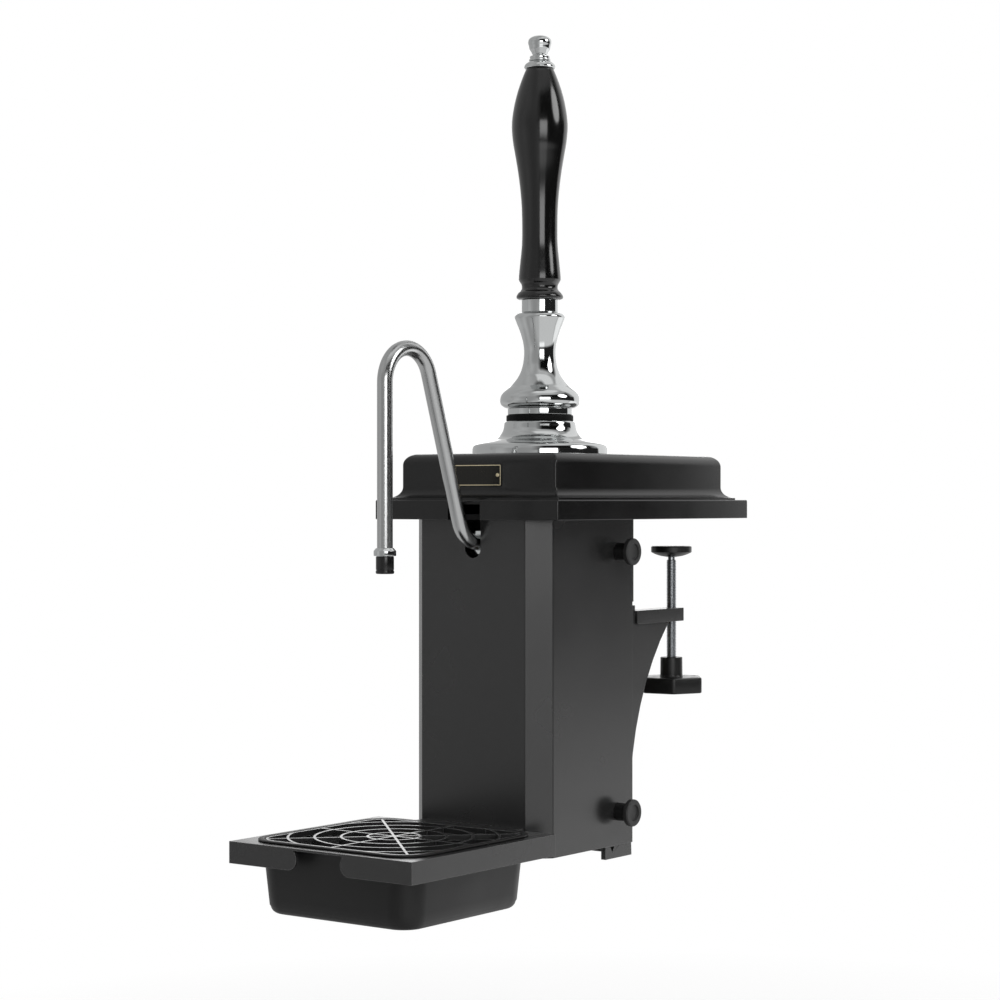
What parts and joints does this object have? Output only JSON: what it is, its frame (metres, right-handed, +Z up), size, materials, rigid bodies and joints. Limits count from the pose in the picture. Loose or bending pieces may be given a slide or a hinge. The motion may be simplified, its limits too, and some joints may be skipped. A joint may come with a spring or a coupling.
{
  "type": "beer engine",
  "caption": "Clamp-on bar hand pump: turned handle on a domed flange, black base and case, swan neck with sparkler, drip tray with grid, and screw clamps for the bar top.",
  "frame": {"origin": "centre of the seat that rests on the counter, on the underside of the base", "axes": "+X to the right, +Y back over the counter, +Z up"},
  "size_m": [0.2128, 0.5361, 0.811],
  "materials": {
    "black_moulding": "satin gloss black moulding",
    "zinc_steel": "bright zinc plate",
    "plate_black": "black enamel with a gilt border",
    "gilt": "polished",
    "chrome": "mirror polished",
    "rubber": "matt black",
    "case_black": "satin black powder coat",
    "stainless": "polished stainless steel",
    "brass": "machined",
    "white_acetal": "machined",
    "grip_black": "high gloss black",
    "knob_black": "moulded",
    "sparkler_black": "gloss black",
    "tub_black": "moulded",
    "grid_black": "moulded"
  },
  "bodies": {
    "stand": {"base_moulding": "black_moulding", "mounting_plate": "zinc_steel", "base_screws": "zinc_steel", "name_plate": "plate_black", "name_plate_pins": "gilt", "dome_flange": "chrome", "dome_studs": "zinc_steel", "buffer_ring": "rubber", "front_cover": "case_black", "bracket_plate_right": "case_black", "bracket_plate_left": "case_black", "bracket_bolts": "zinc_steel", "back_plate": "case_black", "cross_bar": "case_black", "bracket_screws": "zinc_steel", "clamp_arm_right": "case_black", "clamp_arm_left": "case_black", "swan_neck": "stainless", "neck_nut": "chrome", "outlet_pipe": "stainless", "spout_collar": "chrome", "top_cap": "white_acetal", "cylinder_tube": "brass", "bottom_cap": "white_acetal", "cap_seals": "rubber", "tie_rods": "zinc_steel", "tie_spacers": "zinc_steel", "rod_gland": "brass", "valve_cage": "zinc_steel", "hose_barb": "brass", "tray_frame": "case_black", "tray_screws": "zinc_steel"},
    "handle": {"collar": "chrome", "bell": "chrome", "ferrule": "chrome", "grip": "grip_black", "finial": "chrome", "lever_rod": "zinc_steel", "lever_fork": "zinc_steel", "fork_pin": "zinc_steel"},
    "piston_unit": {"crosshead": "zinc_steel", "piston_rod": "stainless", "piston": "white_acetal", "piston_seals": "rubber", "piston_nut": "zinc_steel"},
    "piston_valve": {"piston_valve": "rubber"},
    "inlet_ball": {"inlet_ball": "stainless"},
    "pad_right": {"clamp_pad_right": "knob_black"},
    "screw_right": {"clamp_screw_right": "zinc_steel", "clamp_knob_right": "knob_black"},
    "cover_knob_right_upper": {"cover_knob_right_upper": "knob_black"},
    "cover_knob_right_lower": {"cover_knob_right_lower": "knob_black"},
    "pad_left": {"clamp_pad_left": "knob_black"},
    "screw_left": {"clamp_screw_left": "zinc_steel", "clamp_knob_left": "knob_black"},
    "cover_knob_left_upper": {"cover_knob_left_upper": "knob_black"},
    "cover_knob_left_lower": {"cover_knob_left_lower": "knob_black"},
    "sparkler": {"sparkler": "sparkler_black"},
    "tub": {"drip_tub": "tub_black"},
    "grid": {"tray_grid": "grid_black"}
  },
  "joints": [
    {"name": "handle_pull", "type": "hinge", "parent": "stand", "child": "handle", "pos_m": [0, -0.16085, 0.1001], "axis": [1, 0, 0], "range_deg": [0, 65]},
    {"name": "piston_stroke", "type": "slide", "parent": "stand", "child": "piston_unit", "axis": [0, 0, 1], "range_m": [0, 0.0396]},
    {"name": "piston_valve_lift", "type": "slide", "parent": "piston_unit", "child": "piston_valve", "axis": [0, 0, 1], "range_m": [0, 0.0017]},
    {"name": "inlet_ball_lift", "type": "slide", "parent": "stand", "child": "inlet_ball", "axis": [0, 0, 1], "range_m": [0, 0.003]},
    {"name": "clamp_pad_travel_right", "type": "slide", "parent": "stand", "child": "pad_right", "axis": [0, 0, 1], "range_m": [-0.04, 0.012]},
    {"name": "clamp_screw_turn_right", "type": "hinge", "parent": "pad_right", "child": "screw_right", "pos_m": [0.0695, -0.00375, -0.1], "axis": [0, 0, 1], "range_deg": [-9602, 2882]},
    {"name": "cover_knob_right_upper_turn", "type": "hinge", "parent": "stand", "child": "cover_knob_right_upper", "pos_m": [0.0785, -0.11075, -0.0308], "axis": [1, 0, 0], "range_deg": [0, 1800]},
    {"name": "cover_knob_right_lower_turn", "type": "hinge", "parent": "stand", "child": "cover_knob_right_lower", "pos_m": [0.0785, -0.11075, -0.2778], "axis": [1, 0, 0], "range_deg": [0, 1800]},
    {"name": "clamp_pad_travel_left", "type": "slide", "parent": "stand", "child": "pad_left", "axis": [0, 0, 1], "range_m": [-0.04, 0.012]},
    {"name": "clamp_screw_turn_left", "type": "hinge", "parent": "pad_left", "child": "screw_left", "pos_m": [-0.0695, -0.00375, -0.1], "axis": [0, 0, 1], "range_deg": [-9602, 2882]},
    {"name": "cover_knob_left_upper_turn", "type": "hinge", "parent": "stand", "child": "cover_knob_left_upper", "pos_m": [-0.0785, -0.11075, -0.0308], "axis": [-1, 0, 0], "range_deg": [0, 1800]},
    {"name": "cover_knob_left_lower_turn", "type": "hinge", "parent": "stand", "child": "cover_knob_left_lower", "pos_m": [-0.0785, -0.11075, -0.2778], "axis": [-1, 0, 0], "range_deg": [0, 1800]},
    {"name": "sparkler_turn", "type": "hinge", "parent": "stand", "child": "sparkler", "pos_m": [0, -0.36455, -0.0313], "axis": [0, 0, 1], "range_deg": [0, 360]},
    {"name": "tub_lift", "type": "slide", "parent": "stand", "child": "tub", "axis": [0, 0, 1], "range_m": [0, 0.08]},
    {"name": "grid_lift", "type": "slide", "parent": "tub", "child": "grid", "axis": [0, 0, 1], "range_m": [0, 0.05]}
  ],
  "couplings": [
    {"joint": "piston_stroke", "follows": "handle_pull", "m_per_rad": 0.034817},
    {"joint": "clamp_screw_turn_right", "follows": "clamp_pad_travel_right", "rad_per_m": 4188.8},
    {"joint": "clamp_screw_turn_left", "follows": "clamp_pad_travel_left", "rad_per_m": 4188.8}
  ]
}
